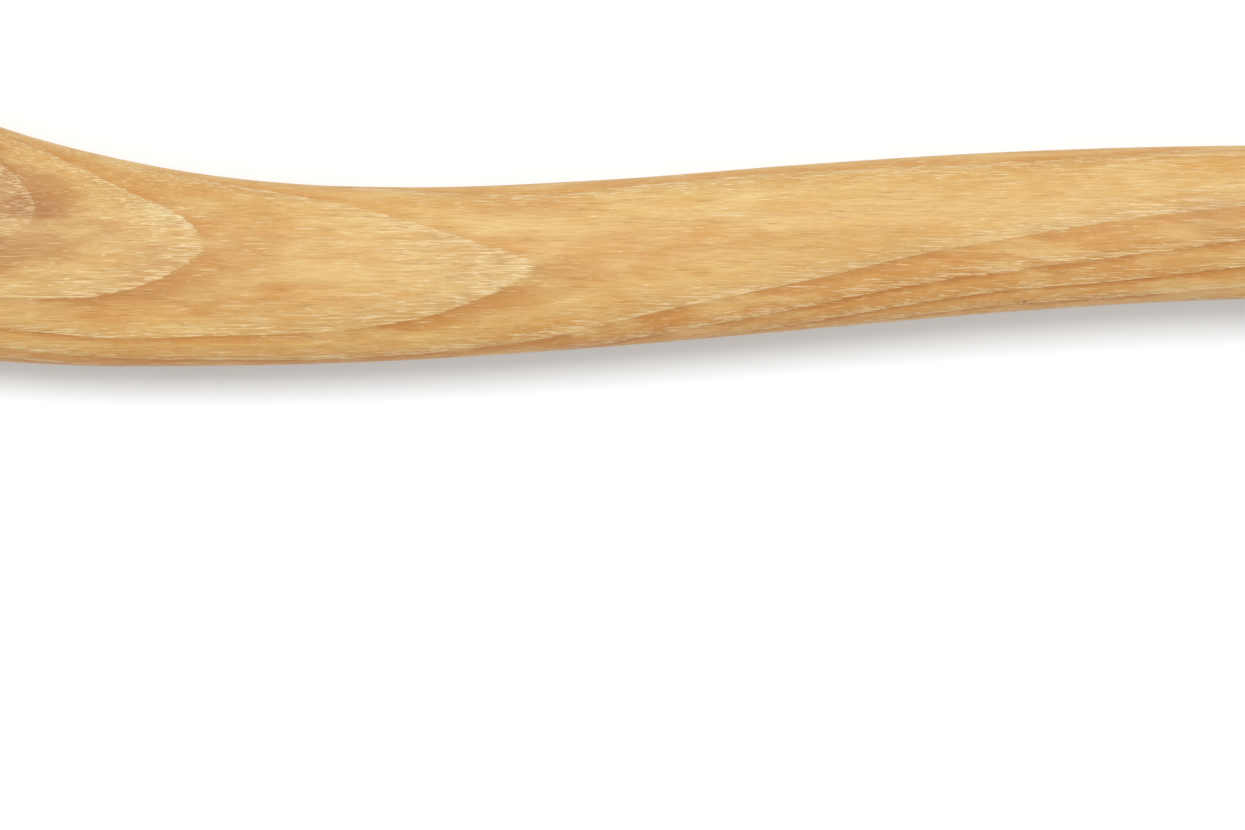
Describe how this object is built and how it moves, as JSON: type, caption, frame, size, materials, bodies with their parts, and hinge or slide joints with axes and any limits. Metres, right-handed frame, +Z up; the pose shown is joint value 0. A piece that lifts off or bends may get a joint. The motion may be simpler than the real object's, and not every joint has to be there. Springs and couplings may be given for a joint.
{
  "type": "splitting maul",
  "caption": "Splitting maul: forged wedge head with an octagonal hammer poll on a long curved hickory handle, wedged in the eye, with a steel guard collar below the head.",
  "frame": {"origin": "centre of the footprint of the maul lying on its side, on the ground", "axes": "+X along the handle from its foot to the head, +Y along the head from the poll to the cutting edge, +Z up through the thickness"},
  "size_m": [0.8, 0.184, 0.056],
  "materials": {
    "forged_steel": "satin",
    "hickory": "satin",
    "pale_wood": "matte",
    "ring_steel": "satin",
    "collar_steel": "satin",
    "screw_steel": "gloss"
  },
  "bodies": {
    "root": {"maul_head": "forged_steel", "handle": "hickory", "wooden_wedge": "pale_wood", "ring_wedge": "ring_steel", "guard_collar": "collar_steel", "collar_screws": "screw_steel"}
  },
  "joints": []
}
